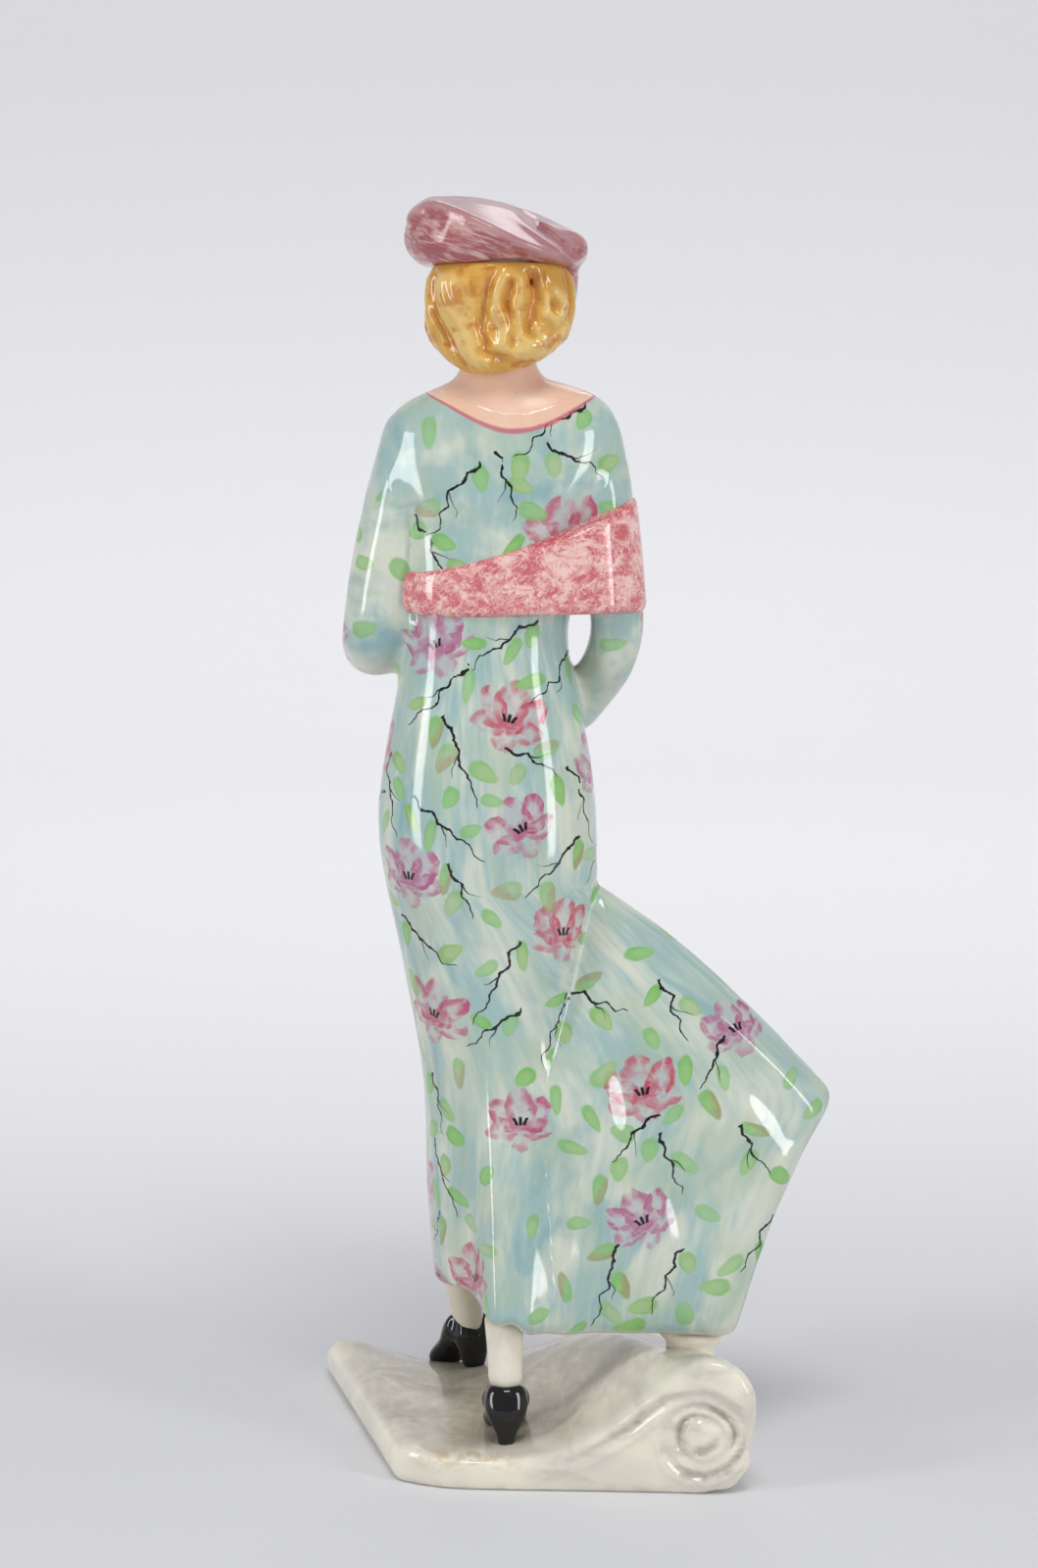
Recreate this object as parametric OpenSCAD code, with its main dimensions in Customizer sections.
// Glazed earthenware lady figurine walking away over a scroll base, her train blown to the right.
// Millimetres. X runs left to right across the base, Y runs the way she walks, Z runs up.
// The origin is the middle of the base's flat underside. Heights are measured from the table.
// Every piece is a solid of its own, cut back where it meets the piece it is luted to.

/* [Base] */
// Width of the scroll base at its far edge
base_w = 78; // [72:1:84]
// Depth of the base along the way she walks
base_d = 81.6; // [79:0.2:88]
// Thickness of the base in the trough she stands in
floor_t = 6.8; // [5.5:0.1:8]
// Height of the left lip at the far edge
lip_h = 8.4; // [6:0.2:11]
// Thickness of the base at the far edge, where the trough runs down
far_t = 2.8; // [2:0.1:4]
// Height of the volute on the near side
volute_h = 30; // [26:0.5:34]
// Height of the volute where it runs out on the far side
volute_far_h = 12; // [9:0.5:16]
// Diameter of the boss in the middle of the spiral
boss_d = 9; // [6:0.5:11]
// Depth of the spiral groove in the near face
groove_t = 1.2; // [0.6:0.1:2]
// Diameter of the vent hole in the underside
vent_d = 7; // [4:0.5:9]
// Depth of the vent hole
vent_t = 3; // [2:0.5:4]

/* [Legs and shoes] */
// Diameter of the calf at the hem
calf_d = 9; // [8:0.2:10]
// Diameter of the ankle
ankle_d = 7.4; // [6.6:0.2:8]
// Diameter of the round tenons at both ends of a leg
tenon_d = 5.6; // [4.6:0.2:6.2]
// Length of the tenon that enters the skirt
tenon_l = 8; // [5:0.5:12]
// Length of a shoe
shoe_l = 19.5; // [18:0.5:20.5]
// Width of a shoe at the ball of the foot
shoe_w = 10; // [9:0.2:11]
// Height of the shoe's heel
heel_h = 7.5; // [6:0.5:9]
// Height of the back of the shoe above the heel
counter_h = 6.6; // [5.5:0.1:8]

/* [Skirt] */
// Height of the hem at the skirt's axis
hem_h = 33; // [31:0.5:36]
// Width across the skirt at the hem
hem_w = 24.4; // [22:0.2:28]
// Depth of the skirt at the hem, along the stride
hem_d = 57; // [53:1:62]
// Height of the knees
knee_h = 82; // [76:1:88]
// Width at the knees
knee_w = 32.4; // [28:0.2:36]
// Depth at the knees
knee_d = 40; // [36:1:44]
// Height of the widest part of the hips
hip_h = 138; // [132:1:144]
// Width of the hips
hip_w = 46.6; // [42:0.2:50]
// Depth of the hips
hip_d = 36; // [33:0.5:40]
// Length of the torso, from the waist up to the widest part of the shoulders
torso_l = 42; // [39:0.5:46]
// Width of the waist
waist_w = 34; // [31:0.2:37]
// Depth of the waist
waist_d = 25.5; // [23:0.5:28]
// Rise of the seam between skirt and bodice above the waist, hidden under the sash
seam_rise = 12; // [11:0.5:14]
// Depth of the folds between the legs, as a share of the skirt's radius
fold = 0.15; // [0:0.01:0.2]

/* [Train] */
// Reach of the train's tip to the right of the base's middle
train_reach = 63.3; // [58:0.5:68]
// Height of the train's tip
train_tip_h = 80; // [74:1:86]
// Height where the train leaves the right hip
train_top_h = 126; // [120:1:130]
// Reach of the train's lower corner
train_corner = 41; // [39:0.5:43]
// Thickness of the train
train_t = 8; // [6.5:0.5:10]
// Width of the prop under the train's corner
prop_w = 11.5; // [9:0.5:13]

/* [Bodice and sleeves] */
// Width of the chest
chest_w = 42; // [39:0.5:45]
// Depth of the chest
chest_d = 28; // [26:0.5:31]
// Height of the widest part of the shoulders
shoulder_h = 219; // [216:0.5:222]
// Width of the bodice at the shoulders
shoulder_w = 49.2; // [46:0.2:52]
// Rise of the shoulder line beside the neck above the widest part of the shoulders
yoke_rise = 15.2; // [13:0.2:17]
// Width of the neck opening
neckline_w = 35.2; // [33:0.2:37]
// Depth of the neck opening, back to front
neckline_d = 20; // [18:0.5:22]
// Diameter of the left sleeve at the elbow
left_elbow_d = 14; // [12.5:0.5:15]
// Diameter of the right sleeve at the elbow
right_elbow_d = 11; // [10:0.5:12.5]
// Diameter of the sleeves at the wrist
cuff_d = 8.4; // [7.6:0.2:9.4]
// Length of the upper arms, from the shoulders down to the elbows
upper_arm_l = 40; // [37:0.5:42]
// Length of a hand
hand_l = 15; // [13:0.5:17]

/* [Sash] */
// Drop of the sash's lower edge below the seam that it hides
sash_drop = 3; // [2:0.5:4.5]
// Width of the sash where it wraps the right arm
sash_wide = 23.5; // [21:0.5:27]
// Width of the sash under the left arm
sash_narrow = 8; // [6.5:0.5:11]
// Thickness of the sash over the chest
sash_t = 1.6; // [1.2:0.1:2.4]

/* [Head] */
// Diameter of the neck
neck_d = 14.6; // [13:0.2:16]
// Rise of the chin above the shoulder line beside the neck
chin_rise = 2.8; // [1.8:0.2:4.8]
// Height of the head, chin to crown
head_l = 31; // [29:0.5:32]
// Width of the head
head_w = 24; // [22:0.5:26]
// Depth of the head, brow to nape
head_d = 28; // [26:0.5:30]
// Thickness of the waved hair over the head
hair_t = 3.4; // [2.6:0.2:4.4]
// Width of the beret
beret_w = 38.5; // [36:0.5:41]
// Depth of the beret, back to front
beret_d = 37; // [34:0.5:40]
// Height of the beret's left edge
beret_h = 16; // [14:0.5:18]

/* [Hidden] */
$fn = 48;

cream = [0.93, 0.90, 0.82];
skin = [0.95, 0.78, 0.68];
aqua = [0.70, 0.84, 0.80];
rose = [0.80, 0.35, 0.42];
mauve = [0.78, 0.55, 0.62];
gold = [0.90, 0.72, 0.30];
black = [0.06, 0.06, 0.07];

// Where the figure's axis passes, from the base's middle
hip_x = -12;
waist_x = -12.4;
chest_x = -9.6;
head_x = -9.4;
// Heights that follow from the shoulders
waist_h = shoulder_h - torso_l;
seam_h = waist_h + seam_rise;
elbow_h = shoulder_h - upper_arm_l;
sash_h = seam_h - sash_drop;
yoke_h = shoulder_h + yoke_rise;
chin_h = yoke_h + chin_rise;
// How far the way she walks turns to the left
stride = 11;
// How far the train hangs below the hem, stands behind the axis at its foot, and bows out along its edges
train_drop = 2.4;
train_back = 19;
train_top_bow = 18;
train_side_bow = 24;
// How the base's depth edges lean to the left, and how its near edge turns towards the right
base_lean = 0.2;
near_turn = 0.065;
// Where the heels of the two shoes stand
right_heel = [-7.9, -25.2];
left_heel = [-15.2, 31];
right_toe_turn = 92;
left_toe_turn = 120;
// How far the left foot tips down with the trough
left_toe_drop = 9;

// A smooth curve through rows of numbers; the first number of each row is the place along it
function row_at(rows, t, i = 0) = i >= len(rows) - 2 || t < rows[i + 1][0] ? i : row_at(rows, t, i + 1);
function run(rows, i, j) = (rows[j] - rows[i]) / (rows[j][0] - rows[i][0]);
function slope(rows, i) = run(rows, max(i - 1, 0), min(i + 1, len(rows) - 1));
function along(rows, t) =
    let (
        i = row_at(rows, t),
        a = rows[i],
        b = rows[i + 1],
        w = b[0] - a[0],
        u = (t - a[0]) / w
    )
    (2 * u ^ 3 - 3 * u ^ 2 + 1) * a
    + (u ^ 3 - 2 * u ^ 2 + u) * w * slope(rows, i)
    + (3 * u ^ 2 - 2 * u ^ 3) * b
    + (u ^ 3 - u ^ 2) * w * slope(rows, i + 1);
function lerp(a, b, t) = a + (b - a) * t;
function clamp01(t) = min(max(t, 0), 1);
function bump(t, at, wide) = exp(-((t - at) / wide) ^ 2);
// The shorter way round between two directions, in degrees
function turn_to(t, at) = abs((t - at + 540) % 360 - 180);
function mean(list) = [for (r = list) 1] * list / len(list);
// A point of a rounded-square oval with half sizes one
function oval(t, power) =
    let (c = cos(t), s = sin(t))
    [sign(c) * abs(c) ^ (2 / power), sign(s) * abs(s) ^ (2 / power)];

// A solid skinned over rings of points, each ring turning anticlockwise as seen from the last ring
module loft(rings) {
    n = len(rings[0]);
    m = len(rings);
    points = concat([for (ring = rings) each ring], [mean(rings[0]), mean(rings[m - 1])]);
    sides = [for (i = [0 : m - 2], j = [0 : n - 1])
        let (a = i * n + j, b = i * n + (j + 1) % n)
        each [[a, a + n, b + n], [a, b + n, b]]];
    start = [for (j = [0 : n - 1]) [m * n, j, (j + 1) % n]];
    end = [for (j = [0 : n - 1]) [m * n + 1, (m - 1) * n + (j + 1) % n, (m - 1) * n + j]];
    polyhedron(points = points, faces = concat(sides, start, end));
}

// A limb: rows of [share of length, x, y, z, half width, half height], its width kept along a direction
function direction(rows, t) =
    let (a = along(rows, max(t - 0.01, 0)), b = along(rows, min(t + 0.01, 1)))
    let (d = [b[1] - a[1], b[2] - a[2], b[3] - a[3]])
    d / norm(d);
function limb_ring(rows, t, wide, n) =
    let (
        r = along(rows, t),
        d = direction(rows, t),
        flat = wide - (wide * d) * d,
        u = flat / norm(flat),
        v = cross(d, u)
    )
    [for (j = [0 : n - 1]) [r[1], r[2], r[3]] + r[4] * cos(360 * j / n) * u + r[5] * sin(360 * j / n) * v];
module limb(rows, wide, n, steps) {
    loft([for (i = [0 : steps]) limb_ring(rows, i / steps, wide, n)]);
}

// The first child cut back by all the others
module trimmed() {
    resize([0, 0, 0]) difference() {
        children(0);
        children([1 : $children - 1]);
    }
}

// Skirt: rows of height, half width, half depth, middle x, middle y, turn
skirt_rows = [
    [hem_h, hem_w / 2, hem_d / 2, -9.8, -1.2, stride],
    [(hem_h + knee_h) / 2, (hem_w + knee_w) / 4 + 0.2, (hem_d + knee_d) / 4 + 1, -9.8, 1, stride],
    [knee_h, knee_w / 2, knee_d / 2, -9.3, 1, stride / 2],
    [(knee_h + hip_h) / 2, (knee_w + hip_w) / 4 + 0.4, (knee_d + hip_d) / 4, -10.2, 1, 2],
    [hip_h, hip_w / 2, hip_d / 2, hip_x, 0, 0],
    [(hip_h + waist_h) / 2, (hip_w + waist_w) / 4 + 1, (hip_d + waist_d) / 4 + 0.6, hip_x, 0.6, 0],
    [waist_h, waist_w / 2, waist_d / 2, waist_x, 1, 0],
    [seam_h, waist_w / 2 + 0.9, waist_d / 2 + 0.6, waist_x + 0.6, 1, 0]];
function hem_at(x, y) = hem_h - 0.085 * y - 0.11 * (x - hip_x);
function skirt_fold(t, z) =
    let (k = clamp01((knee_h + 40 - z) / (knee_h + 40 - hem_h)) ^ 1.3)
    1 - fold * k * (bump(turn_to(t, 214), 0, 17) + bump(turn_to(t, 48), 0, 19));
function skirt_ring(z, n) =
    let (
        r = along(skirt_rows, z),
        rise = clamp01((knee_h - z) / (knee_h - hem_h)) ^ 2
    )
    [for (j = [0 : n - 1])
        let (
            t = 360 * j / n,
            q = oval(t, 2.2) * skirt_fold(t, z),
            x = r[3] + r[1] * q[0] * cos(r[5]) - r[2] * q[1] * sin(r[5]),
            y = r[4] + r[1] * q[0] * sin(r[5]) + r[2] * q[1] * cos(r[5])
        )
        [x, y, z + rise * (hem_at(x, y) - hem_h)]];
// Where the skirt's front face stands over a point of the hip
function skirt_front(x, z) =
    let (r = along(skirt_rows, z))
    r[4] + r[2] * (1 - min(abs((x - r[3]) / r[1]), 0.98) ^ 2.2) ^ (1 / 2.2);
module skirt_form() {
    steps = 20;
    loft([for (i = [0 : steps]) skirt_ring(lerp(hem_h, seam_h, i / steps), 32)]);
}

// Train: a thick sheet that leaves the right hip and falls to the hem
function train_top(x) =
    let (u = (x - 10.9) / (train_reach - 10.9))
    lerp(train_top_h, train_tip_h, u) + train_top_bow * u * (1 - u);
function train_low(x) =
    let (corner = hem_at(train_corner, -10) - train_drop, u = clamp01((x - train_corner) / (train_reach - train_corner)))
    x < train_corner ? hem_at(x, lerp(-18, -10, clamp01((x - hip_x) / (train_corner - hip_x)))) - train_drop
    : lerp(corner, train_tip_h - 1, u) + train_side_bow * u * (1 - u);
function train_ring(x, n) =
    let (
        top = train_top(x),
        low = train_low(x),
        out = clamp01((x - 4) / (train_reach - 4)),
        thick = lerp(train_t + 4, train_t * 0.62, out)
    )
    [for (j = [0 : n - 1])
        let (
            q = oval(360 * j / n, 3.2),
            z = (top + low) / 2 + (top - low) / 2 * q[1],
            down = clamp01((train_top_h - z) / (train_top_h - hem_h))
        )
        [x, lerp(lerp(1, -train_back, down ^ 0.8), -6, out ^ 1.1) + thick / 2 * q[0], z]];
module train_form() {
    to_corner = [for (u = [0, 0.12, 0.24, 0.44, 0.63, 0.8, 0.93, 0.99]) train_corner * u];
    to_tip = [for (u = [0.02, 0.2, 0.42, 0.64, 0.82, 0.94, 0.99]) lerp(train_corner, train_reach, u)];
    loft([for (x = concat(to_corner, to_tip)) train_ring(x, 24)]);
}

// Bodice: rows of height, half width, half depth, middle x, middle y
bodice_rows = [
    [seam_h, waist_w / 2 + 0.9, waist_d / 2 + 0.6, waist_x + 0.6, 1],
    [(seam_h + shoulder_h) / 2 - 1, chest_w / 2 - 0.5, chest_d / 2, chest_x - 0.8, 1.4],
    [shoulder_h - 6, chest_w / 2 + 2.4, chest_d / 2, chest_x, 1],
    [shoulder_h, shoulder_w / 2, chest_d / 2 - 1, chest_x + 0.7, 0.6],
    [(shoulder_h + yoke_h) / 2, shoulder_w / 2 - 0.6, chest_d / 2 - 3.2, chest_x + 0.9, 0.4],
    [yoke_h - 2.4, shoulder_w / 2 - 6.2, chest_d / 2 - 5.6, chest_x + 2.2, 0.4],
    [yoke_h, shoulder_w / 2 - 13.5, chest_d / 2 - 7.6, chest_x + 1.5, 0.4]];
module bodice_form() {
    steps = 14;
    loft([for (i = [0 : steps])
        let (r = along(bodice_rows, lerp(seam_h, yoke_h, (i / steps) ^ 0.8)))
        [for (j = [0 : 29])
            let (q = oval(12 * j, 2.3))
            [r[3] + r[1] * q[0], r[4] + r[2] * q[1], r[0]]]]);
}
module neck_opening() {
    translate([chest_x + 2.6, -0.4, shoulder_h - 4])
        scale([neckline_w, neckline_d, 1])
            cylinder(d = 1, h = 30);
}

// The sash's ends, and where its front face stands
sash_left = waist_x + 0.6 - waist_w / 2 - 0.9 - sash_t * 0.6;
sash_right = chest_x + shoulder_w / 2 + 1 + right_elbow_d / 2 + sash_t * 0.6;
sash_x = (sash_left + sash_right) / 2;
sash_half = (sash_right - sash_left) / 2;
function sash_front(x) = 1.2 + (chest_d / 2 + sash_t) * (1 - min(abs((x - sash_x) / sash_half), 0.98) ^ 2.5) ^ 0.4;

// Sleeves, from the shoulder to the wrist
left_edge = chest_x - shoulder_w / 2 + 1.1;
right_edge = chest_x + shoulder_w / 2 + 0.8;
left_wrist_x = left_edge + 13;
left_wrist = [left_wrist_x, sash_front(left_wrist_x) + cuff_d / 2 - 0.9, elbow_h + 5];
left_arm_rows = [
    [0, left_edge + 7.6, 0.6, shoulder_h + 5, 8.4, 8.4],
    [0.15, left_edge + 5, 0.8, shoulder_h - 4, 8.4, 8.8],
    [0.42, left_edge - 0.4, 1.2, lerp(elbow_h, shoulder_h, 0.36), left_elbow_d / 2 + 0.8, left_elbow_d / 2 + 1.2],
    [0.6, left_edge - 2.6, 2.4, elbow_h + 2, left_elbow_d / 2 + 0.2, left_elbow_d / 2 + 0.6],
    [0.7, left_edge - 3.2, 7.5, elbow_h - 1.8, left_elbow_d / 2, left_elbow_d / 2],
    [0.84, left_edge + 3, lerp(7.5, left_wrist[1], 0.7), elbow_h + 0.6, left_elbow_d / 2 - 0.9, left_elbow_d / 2 - 1.2],
    [1, left_wrist[0], left_wrist[1], left_wrist[2], cuff_d / 2, cuff_d / 2]];
right_wrist_x = right_edge - 9.3;
right_wrist_h = elbow_h - 18.8;
right_wrist = [right_wrist_x, skirt_front(right_wrist_x, right_wrist_h) + cuff_d / 2 - 0.6, right_wrist_h];
right_arm_rows = [
    [0, right_edge - 7.4, 0.6, shoulder_h + 3.4, 8.4, 8.4],
    [0.16, right_edge - 4.9, 0.5, shoulder_h - 6, 7.8, 8],
    [0.42, right_edge - 1.4, -0.4, lerp(elbow_h, shoulder_h, 0.36), right_elbow_d / 2 + 0.4, right_elbow_d / 2 + 0.8],
    [0.62, right_edge + 0.3, 0, elbow_h + 3.4, right_elbow_d / 2, right_elbow_d / 2 + 0.2],
    [0.74, right_edge - 1.5, right_wrist[1] * 0.3, elbow_h - 5.2, right_elbow_d / 2 - 0.2, right_elbow_d / 2],
    [0.87, right_edge - 5.9, right_wrist[1] * 0.7, elbow_h - 12.9, right_elbow_d / 2 - 0.7, right_elbow_d / 2 - 0.7],
    [1, right_wrist[0], right_wrist[1], right_wrist[2], cuff_d / 2, cuff_d / 2]];
module left_arm_form() {
    limb(left_arm_rows, [1, 0, 0], 14, 16);
}
module right_arm_form() {
    limb(right_arm_rows, [1, 0, 0], 14, 16);
}

// Sash: a band round the chest and the right arm, wide on the right
function sash_ring(share, grow) =
    [for (j = [0 : 29])
        let (
            q = oval(12 * j, 2.5),
            a = sash_half + grow,
            b = chest_d / 2 + sash_t + grow,
            wide = lerp(sash_narrow, sash_wide, ((1 + q[0]) / 2) ^ 1.4)
        )
        [sash_x + a * q[0] * (1 - 0.09 * share * max(q[0], 0)), 1.2 + b * q[1], sash_h + wide * share]];
module sash_form() {
    loft([sash_ring(0, -0.7), sash_ring(0.05, 0), sash_ring(0.35, 0.2), sash_ring(0.65, 0.2), sash_ring(0.96, 0),
        sash_ring(1, -0.6)]);
}

// Hand, drawn along X from the wrist with the palm down
module finger(from, to, bend, wide) {
    middle = (from + to) / 2 + [0, 0, bend];
    limb([[0, from[0], from[1], from[2], wide / 2, wide / 2],
        [0.5, middle[0], middle[1], middle[2], wide / 2, wide / 2],
        [0.93, lerp(middle, to, 0.88)[0], lerp(middle, to, 0.88)[1], lerp(middle, to, 0.88)[2], wide * 0.42, wide * 0.42],
        [1, to[0], to[1], to[2], wide * 0.16, wide * 0.16]], [0, 1, 0], 6, 5);
}
module hand_form() {
    palm = hand_l * 0.5;
    limb([[0, -3, 0, 0, cuff_d * 0.34, cuff_d * 0.34],
        [0.35, palm * 0.2, 0, 0, cuff_d * 0.36, cuff_d * 0.3],
        [0.7, palm * 0.75, 0, 0, cuff_d * 0.46, cuff_d * 0.26],
        [1, palm + 0.6, 0, -0.2, cuff_d * 0.4, cuff_d * 0.18]], [0, 1, 0], 12, 6);
    for (k = [0 : 3])
        finger([palm - 1.2, (k - 1.5) * cuff_d * 0.21, 0], [hand_l - abs(k - 1.6) * 1.2, (k - 1.5) * cuff_d * 0.24, -1.6],
            0.7, cuff_d * 0.23);
    finger([palm * 0.2, cuff_d * 0.28, -0.3], [palm * 1.05, cuff_d * 0.66, -1], 0.4, cuff_d * 0.25);
}
left_tip_x = left_wrist_x + 11;
left_tip = [left_tip_x, sash_front(left_tip_x) + 1.4, left_wrist[2] + 3.4];
right_tip_x = right_wrist_x - 10;
right_tip = [right_tip_x, skirt_front(right_tip_x, right_wrist_h - 7) + 1.6, right_wrist_h - 7];
// Sets a hand on its wrist, pointing at a tip, its palm rolled towards the dress
module on_wrist(wrist, tip, roll) {
    d = tip - wrist;
    translate(wrist)
        rotate([0, -atan2(d[2], norm([d[0], d[1]])), atan2(d[1], d[0])])
            rotate([roll, 0, 0])
                children();
}
module left_hand_form() {
    on_wrist(left_wrist, left_tip, -78)
        hand_form();
}
module right_hand_form() {
    on_wrist(right_wrist, right_tip, 66)
        hand_form();
}

// Neck, head and hair
neck_rows = [
    [yoke_h - 5, neck_d / 2 + 4, neck_d / 2 + 2, head_x, -0.4],
    [yoke_h - 1.5, neck_d / 2 + 3.2, neck_d / 2 + 0.8, head_x, -0.2],
    [yoke_h + 2, neck_d / 2 + 1.1, neck_d / 2 - 0.2, head_x, 0],
    [yoke_h + 6, neck_d / 2, neck_d / 2 - 0.4, head_x, 0.6],
    [chin_h + 10, neck_d / 2, neck_d / 2 - 0.2, head_x, 1]];
module neck_tube() {
    loft([for (i = [0 : 8])
        let (r = along(neck_rows, lerp(yoke_h - 5, chin_h + 10, i / 8)))
        [for (j = [0 : 19]) [r[3] + r[1] * cos(18 * j), r[4] + r[2] * sin(18 * j), r[0]]]]);
}
module neck_form() {
    intersection() {
        bodice_form();
        neck_opening();
    }
    neck_tube();
}

// Head: rows of share of height, half width, half depth, middle y
head_rows = [
    [0, 0.16 * head_w, 0.09 * head_d, 0.31 * head_d],
    [0.05, 0.23 * head_w, 0.16 * head_d, 0.25 * head_d],
    [0.14, 0.34 * head_w, 0.30 * head_d, 0.12 * head_d],
    [0.3, 0.43 * head_w, 0.40 * head_d, 0.05 * head_d],
    [0.5, 0.485 * head_w, 0.47 * head_d, 0.01 * head_d],
    [0.7, 0.5 * head_w, 0.5 * head_d, -0.02 * head_d],
    [0.85, 0.44 * head_w, 0.45 * head_d, -0.03 * head_d],
    [0.95, 0.3 * head_w, 0.31 * head_d, -0.03 * head_d],
    [1, 0.1 * head_w, 0.1 * head_d, -0.03 * head_d]];
// Relief of a plain face: nose, eye hollows, lips and chin
function face(t, s) =
    let (off = turn_to(t, 90))
    head_d * (
        0.075 * bump(off, 0, 8) * bump(s, 0.36, 0.05)
        + 0.045 * bump(off, 0, 6) * bump(s, 0.45, 0.07)
        - 0.035 * bump(off, 25, 11) * bump(s, 0.5, 0.05)
        + 0.022 * bump(off, 0, 12) * bump(s, 0.22, 0.025)
        + 0.02 * bump(off, 0, 14) * bump(s, 0.06, 0.05));
module head_form() {
    steps = 20;
    loft([for (i = [0 : steps])
        let (s = i / steps, r = along(head_rows, s))
        [for (j = [0 : 29])
            let (t = 12 * j - 6, q = oval(t, 2.1), f = face(t, s))
            [head_x + r[1] * q[0] + f * cos(t), 1 + r[3] + r[2] * q[1] + f * sin(t), chin_h + head_l * s]]]);
}

// Hair: a waved bob, longest at the nape
hair_rows = [
    [0, 0.20 * head_w, 0.14 * head_d, -2.6, -0.26 * head_d],
    [0.05, 0.33 * head_w, 0.22 * head_d, -1.5, -0.22 * head_d],
    [0.16, 0.49 * head_w, 0.36 * head_d, -0.3, -0.14 * head_d],
    [0.34, 0.5 * head_w + 0.8 * hair_t, 0.44 * head_d, 0, -0.09 * head_d],
    [0.6, 0.5 * head_w + hair_t, 0.48 * head_d + 0.3 * hair_t, -0.2, -0.06 * head_d],
    [0.82, 0.5 * head_w + 0.8 * hair_t, 0.48 * head_d + 0.4 * hair_t, 0, -0.06 * head_d],
    [1, 0.5 * head_w + 0.3 * hair_t, 0.46 * head_d + 0.2 * hair_t, 0, -0.05 * head_d]];
hair_foot = chin_h;
hair_l = 0.86 * head_l;
module hair_form() {
    steps = 11;
    loft([for (i = [0 : steps])
        let (s = i / steps, r = along(hair_rows, s), k = sin(180 * clamp01(s * 1.1)))
        [for (j = [0 : 25])
            let (
                t = 360 / 26 * j + 3,
                q = oval(t, 2.2),
                wave = 1 + 0.035 * k * sin(6 * t + 300 * s) + 0.03 * k * sin(3 * t - 420 * s + 40)
            )
            [head_x + r[3] + r[1] * q[0] * wave, r[4] + r[2] * q[1] * wave, hair_foot + hair_l * s]]]);
}
module face_window() {
    translate([head_x, 0.16 * head_d, chin_h + 0.42 * head_l])
        rotate([-90, 0, 0])
            scale([0.86 * head_w, 1.3 * head_l, 1])
                cylinder(d = 1, h = head_d);
    translate([head_x - head_w, 0.12 * head_d, chin_h - 6])
        cube([2 * head_w, head_d, 0.3 * head_l + 6]);
}

// Beret: full on the left, its top sloping to the right, the right side drawn down over the ear
beret_x = head_x - 1.1;
beret_foot = chin_h + 0.72 * head_l;
beret_rows = [
    [0, 0.4, 0.42],
    [0.12, 0.455, 0.45],
    [0.3, 0.495, 0.49],
    [0.5, 0.5, 0.5],
    [0.7, 0.485, 0.475],
    [0.88, 0.445, 0.42],
    [1, 0.375, 0.34]];
module beret_crown() {
    steps = 8;
    loft([for (i = [0 : steps])
        let (s = i / steps, r = along(beret_rows, s))
        [for (j = [0 : 25])
            let (
                q = oval(360 / 26 * j + 5, 2.3),
                low = beret_foot - 3 * max(q[0], 0) * clamp01(0.4 + q[1]) - 1.5 * q[1],
                high = beret_foot + beret_h * 0.8 - 3.4 * q[0] - 2.2 * q[0] ^ 2
            )
            [beret_x + 1.2 * s + beret_w * r[1] * q[0], -0.6 + beret_d * r[2] * q[1], lerp(low, high, s)]]]);
}
// The right side of the beret, drawn down over the ear
module beret_tail() {
    x = beret_x + beret_w * 0.41;
    limb([[0, x - 1.6, 2, beret_foot + 5, 2.8, 7],
        [0.4, x - 0.2, 3, beret_foot - 2, 2.2, 6],
        [0.8, x - 0.4, 4, beret_foot - 9, 1.6, 4],
        [1, x - 1, 4.6, beret_foot - 13, 0.9, 1.6]], [1, 0, 0], 12, 6);
}
module beret_form() {
    beret_crown();
    beret_tail();
}

// Shoe, drawn along X from the back of the heel
shoe_rows = [
    [0, heel_h - 0.6, heel_h + counter_h - 1.4, 0.2],
    [0.05, heel_h - 0.8, heel_h + counter_h, 0.42],
    [0.2, heel_h - 1, heel_h + counter_h + 0.4, 0.54],
    [0.4, heel_h - 2.4, heel_h + counter_h - 1.6, 0.52],
    [0.6, heel_h * 0.27, heel_h * 0.95 + 0.6, 0.46],
    [0.8, -0.6, heel_h * 0.62 + 0.4, 0.5],
    [0.94, -0.9, heel_h * 0.4 + 0.2, 0.37],
    [1, -0.2, heel_h * 0.24, 0.12]];
module shoe_form() {
    steps = 11;
    loft([for (i = [0 : steps])
        let (s = i / steps, r = along(shoe_rows, s))
        [for (j = [0 : 13])
            let (q = oval(360 / 14 * j + 8, 2.4))
            [shoe_l * s, shoe_w * r[3] * q[0], (r[1] + r[2]) / 2 + (r[2] - r[1]) / 2 * q[1]]]]);
    loft([for (s = [0, 0.3, 0.65, 1])
        [for (j = [0 : 11])
            let (q = oval(30 * j + 7, 2.4), wide = lerp(0.23, 0.48, s ^ 1.3) * shoe_w)
            [0.14 * shoe_l + (1 - s) * 0.5 + wide * 0.8 * q[0], wide * q[1], lerp(-1.2, heel_h + 1.5, s)]]]);
}
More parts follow.
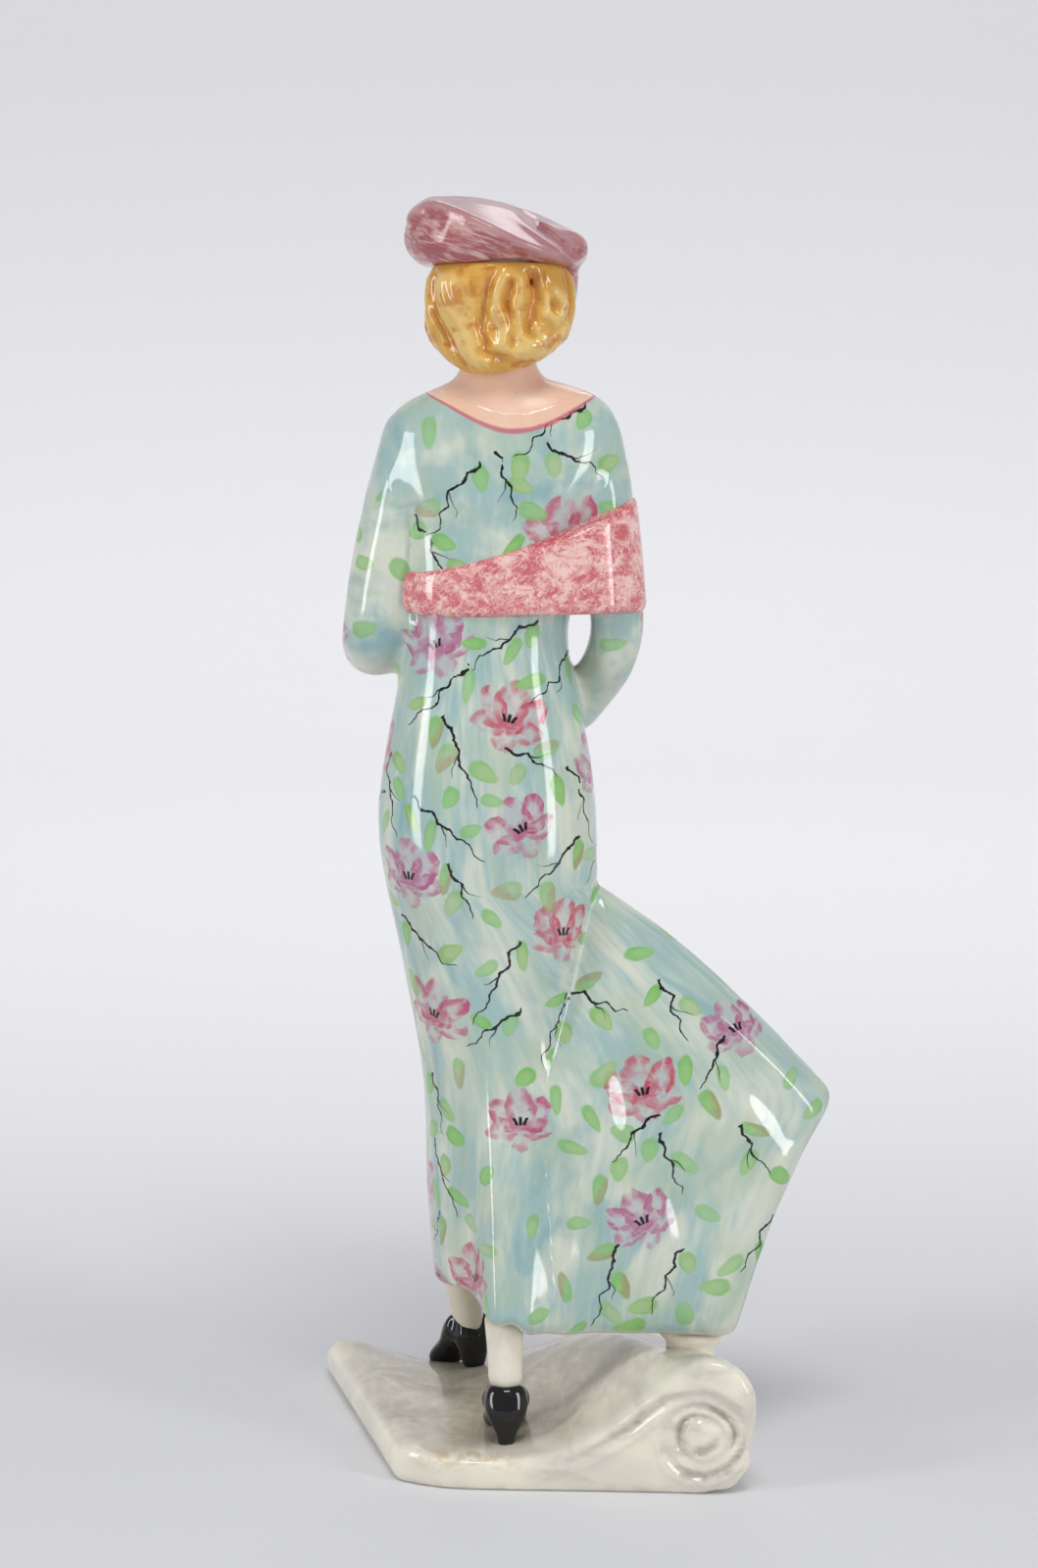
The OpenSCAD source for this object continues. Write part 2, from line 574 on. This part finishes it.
// The height of the trough on the line she walks
function ground(p) =
    lerp(floor_t * 0.97, far_t, clamp01((p[1] - near_y(-14)) / (far_y(-14) - near_y(-14))) ^ trough_run) + 0.2;
module on_foot(heel, turn, drop = 0) {
    translate([heel[0], heel[1], ground(heel)])
        rotate([0, drop, turn])
            translate([-0.14 * shoe_l, 0, 0])
                children();
}
ankle_out = 0.12 * shoe_l;
right_ankle = right_heel + ankle_out * [cos(right_toe_turn), sin(right_toe_turn)];
left_ankle = left_heel + ankle_out * [cos(left_toe_turn), sin(left_toe_turn)];
right_knee = [right_ankle[0] - 0.4, right_ankle[1] + 2.4];
left_knee = [left_ankle[0] - 2.6, left_ankle[1] - 8];
module ankle_tenon(at) {
    translate([at[0], at[1], ground(at) + heel_h + 1])
        cylinder(d = tenon_d, h = counter_h + 2);
}
module knee_tenon(at) {
    translate([at[0], at[1], hem_at(at[0], at[1]) - 3])
        cylinder(d = tenon_d, h = tenon_l + 3);
}
module leg_form(ankle, knee) {
    foot = ground(ankle) + heel_h + 1.5;
    top = hem_at(knee[0], knee[1]) + 2;
    limb([[0, ankle[0], ankle[1], foot, ankle_d / 2, ankle_d / 2],
        [0.5, lerp(ankle, knee, 0.5)[0], lerp(ankle, knee, 0.5)[1], lerp(foot, top, 0.5), ankle_d / 2 + 0.1, ankle_d / 2 + 0.1],
        [1, knee[0], knee[1], top, calf_d / 2, calf_d / 2]], [1, 0, 0], 20, 5);
}

// Base: columns from left to right, each a top point over a bottom point
base_half = base_w / 2;
base_x = -2;
base_y = 4.2;
trough_run = 8;
function near_rows() = [
    [0, -0.9 * base_half, 1.2],
    [0.05, -0.908 * base_half, floor_t * 0.7],
    [0.1, -0.87 * base_half, floor_t * 1.16],
    [0.2, -0.68 * base_half, floor_t],
    [0.32, -0.33 * base_half, floor_t * 0.97],
    [0.42, -0.06 * base_half, lerp(floor_t, volute_h, 0.06)],
    [0.52, 0.2 * base_half, lerp(floor_t, volute_h, 0.3)],
    [0.63, 0.48 * base_half, lerp(floor_t, volute_h, 0.7)],
    [0.72, 0.67 * base_half, lerp(floor_t, volute_h, 0.94)],
    [0.79, 0.8 * base_half, volute_h],
    [0.86, 0.93 * base_half, lerp(floor_t, volute_h, 0.8)],
    [0.92, base_half, volute_h * 0.54],
    [0.97, 0.92 * base_half, volute_h * 0.2],
    [1, 0.74 * base_half, 1.2]];
function far_rows() = [
    [0, -0.97 * base_half, 1],
    [0.05, -base_half, lip_h * 0.6],
    [0.11, -0.9 * base_half, lip_h],
    [0.2, -0.68 * base_half, lerp(far_t, lip_h, 0.6)],
    [0.32, -0.36 * base_half, far_t],
    [0.42, -0.06 * base_half, far_t],
    [0.52, 0.2 * base_half, lerp(far_t, volute_far_h, 0.3)],
    [0.63, 0.48 * base_half, lerp(far_t, volute_far_h, 0.6)],
    [0.72, 0.67 * base_half, lerp(far_t, volute_far_h, 0.9)],
    [0.79, 0.8 * base_half, volute_far_h],
    [0.86, 0.91 * base_half, volute_far_h * 0.86],
    [0.92, 0.96 * base_half, volute_far_h * 0.5],
    [0.97, 0.94 * base_half, volute_far_h * 0.25],
    [1, 0.86 * base_half, 1]];
// The near edge, round at its left end
function near_y(x) = base_y - base_d / 2 - near_turn * x + 8 * clamp01((-27 - x) / 12) ^ 2;
function far_y(x) = base_y + base_d / 2 - 0.05 * x;
// The trough keeps its height until it runs down at the far edge; the volute falls all the way
function base_top(u, s) =
    let (
        near = along(near_rows(), u),
        far = along(far_rows(), u),
        x = lerp(near[1], far[1], s) + base_x,
        y = lerp(near_y(x), far_y(x), s),
        run = lerp(trough_run, 1, clamp01((u - 0.42) / 0.3)),
        lip = lerp(1, run, clamp01((u - 0.12) / 0.1))
    )
    [x - base_lean * y, y, lerp(near[2], far[2], s ^ lip)];
function base_low(u, s) =
    let (x = lerp(-0.86, 0.7, u) * base_half + base_x, y = lerp(near_y(x), far_y(x), lerp(0.02, 0.98, s)))
    [x - base_lean * y, y, -2];
module base_form() {
    n = 26;
    m = 9;
    grid = concat(
        [for (i = [0 : m], j = [0 : n]) base_top(j / n, i / m)],
        [for (i = [0 : m], j = [0 : n]) base_low(j / n, i / m)]);
    low = (m + 1) * (n + 1);
    w = n + 1;
    top_faces = [for (i = [0 : m - 1], j = [0 : n - 1])
        let (a = i * w + j)
        each [[a, a + w, a + w + 1], [a, a + w + 1, a + 1]]];
    low_faces = [for (i = [0 : m - 1], j = [0 : n - 1])
        let (a = low + i * w + j)
        each [[a, a + w + 1, a + w], [a, a + 1, a + w + 1]]];
    near_faces = [for (j = [0 : n - 1]) each [[j, j + 1, low + j + 1], [j, low + j + 1, low + j]]];
    far_faces = [for (j = [0 : n - 1])
        let (a = m * w + j)
        each [[a, low + a + 1, a + 1], [a, low + a, low + a + 1]]];
    left_faces = [for (i = [0 : m - 1])
        let (a = i * w)
        each [[a, low + a, low + a + w], [a, low + a + w, a + w]]];
    right_faces = [for (i = [0 : m - 1])
        let (a = i * w + n)
        each [[a, low + a + w, low + a], [a, a + w, low + a + w]]];
    resize([0, 0, 0]) intersection() {
        polyhedron(points = grid, faces = concat(top_faces, low_faces, near_faces, far_faces, left_faces, right_faces));
        translate([-100, -100, 0])
            cube([200, 200, 100]);
    }
}
// The spiral groove of the volute, drawn round its boss in the near face
function spiral(t) = lerp(boss_d / 2, volute_h * 0.31, t);
module volute_groove() {
    turns = 1.83;
    steps = 38;
    x = 0.72 * base_half + base_x;
    outer = [for (i = [0 : steps])
        let (t = i / steps, r = spiral(t) + 1.6 * sin(180 * clamp01(0.08 + 0.86 * t)))
        r * [cos(150 + 360 * turns * t), sin(150 + 360 * turns * t)]];
    inner = [for (i = [steps : -1 : 0])
        let (t = i / steps)
        spiral(t) * [cos(150 + 360 * turns * t), sin(150 + 360 * turns * t)]];
    translate([x - base_lean * near_y(x), near_y(x), volute_h * 0.43])
        rotate([0, 0, -atan(near_turn / (1 + base_lean * near_turn))])
            rotate([90, 0, 0])
                translate([0, 0, -groove_t])
                    linear_extrude(groove_t + 2)
                        polygon(concat(outer, inner));
}
module base() {
    color(cream)
        difference() {
            trimmed() {
                base_form();
                volute_groove();
            }
            translate([8, 6, -1])
                cylinder(d = vent_d, h = vent_t + 1);
        }
}

// A short flared post between the train's corner and the volute
prop_at = [train_corner - 8.4, -10];
module prop_form() {
    foot = volute_h * 0.6;
    top = hem_at(prop_at[0], prop_at[1]) - train_drop + 2.2;
    loft([for (s = [0, 0.25, 0.5, 0.75, 1])
        [for (j = [0 : 17])
            let (wide = prop_w / 2 * (0.86 + 0.5 * max(2 * s - 1, 0) ^ 2))
            [prop_at[0] + wide * cos(20 * j), prop_at[1] + wide * 0.62 * sin(20 * j), lerp(foot, top, s)]]]);
}

module prop() {
    color(cream)
        trimmed() {
            prop_form();
            train_form();
            skirt_form();
            base_form();
        }
}
module right_leg() {
    color(cream) {
        trimmed() {
            leg_form(right_ankle, right_knee);
            skirt_form();
            train_form();
            on_foot(right_heel, right_toe_turn) shoe_form();
        }
        ankle_tenon(right_ankle);
        knee_tenon(right_knee);
    }
}
module left_leg() {
    color(cream) {
        trimmed() {
            leg_form(left_ankle, left_knee);
            skirt_form();
            on_foot(left_heel, left_toe_turn, left_toe_drop) shoe_form();
        }
        ankle_tenon(left_ankle);
        knee_tenon(left_knee);
    }
}
module right_shoe() {
    color(black)
        difference() {
            trimmed() {
                on_foot(right_heel, right_toe_turn) shoe_form();
                base_form();
            }
            ankle_tenon(right_ankle);
        }
}
module left_shoe() {
    color(black)
        difference() {
            trimmed() {
                on_foot(left_heel, left_toe_turn, left_toe_drop) shoe_form();
                base_form();
            }
            ankle_tenon(left_ankle);
        }
}
module skirt() {
    color(aqua)
        difference() {
            skirt_form();
            knee_tenon(right_knee);
            knee_tenon(left_knee);
        }
}
module train() {
    color(aqua)
        trimmed() {
            train_form();
            skirt_form();
        }
}
module bodice() {
    color(aqua)
        trimmed() {
            bodice_form();
            neck_opening();
        }
}
module left_sleeve() {
    color(aqua)
        trimmed() {
            left_arm_form();
            bodice_form();
            skirt_form();
        }
}
module right_sleeve() {
    color(aqua)
        trimmed() {
            right_arm_form();
            bodice_form();
            skirt_form();
        }
}
module sash() {
    color(rose)
        trimmed() {
            sash_form();
            bodice_form();
            skirt_form();
            left_arm_form();
            right_arm_form();
        }
}
module left_hand() {
    color(skin)
        trimmed() {
            left_hand_form();
            left_arm_form();
            sash_form();
            bodice_form();
            skirt_form();
        }
}
module right_hand() {
    color(skin)
        trimmed() {
            right_hand_form();
            right_arm_form();
            skirt_form();
        }
}
module neck() {
    color(skin)
        trimmed() {
            neck_form();
            head_form();
        }
}
module head() {
    color(skin)
        head_form();
}
module hair() {
    color(gold)
        trimmed() {
            hair_form();
            head_form();
            neck_form();
            face_window();
            beret_form();
        }
}
module beret() {
    color(mauve)
        trimmed() {
            beret_form();
            head_form();
        }
}

base();
prop();
right_leg();
left_leg();
right_shoe();
left_shoe();
skirt();
train();
bodice();
sash();
left_sleeve();
left_hand();
right_sleeve();
right_hand();
neck();
head();
hair();
beret();
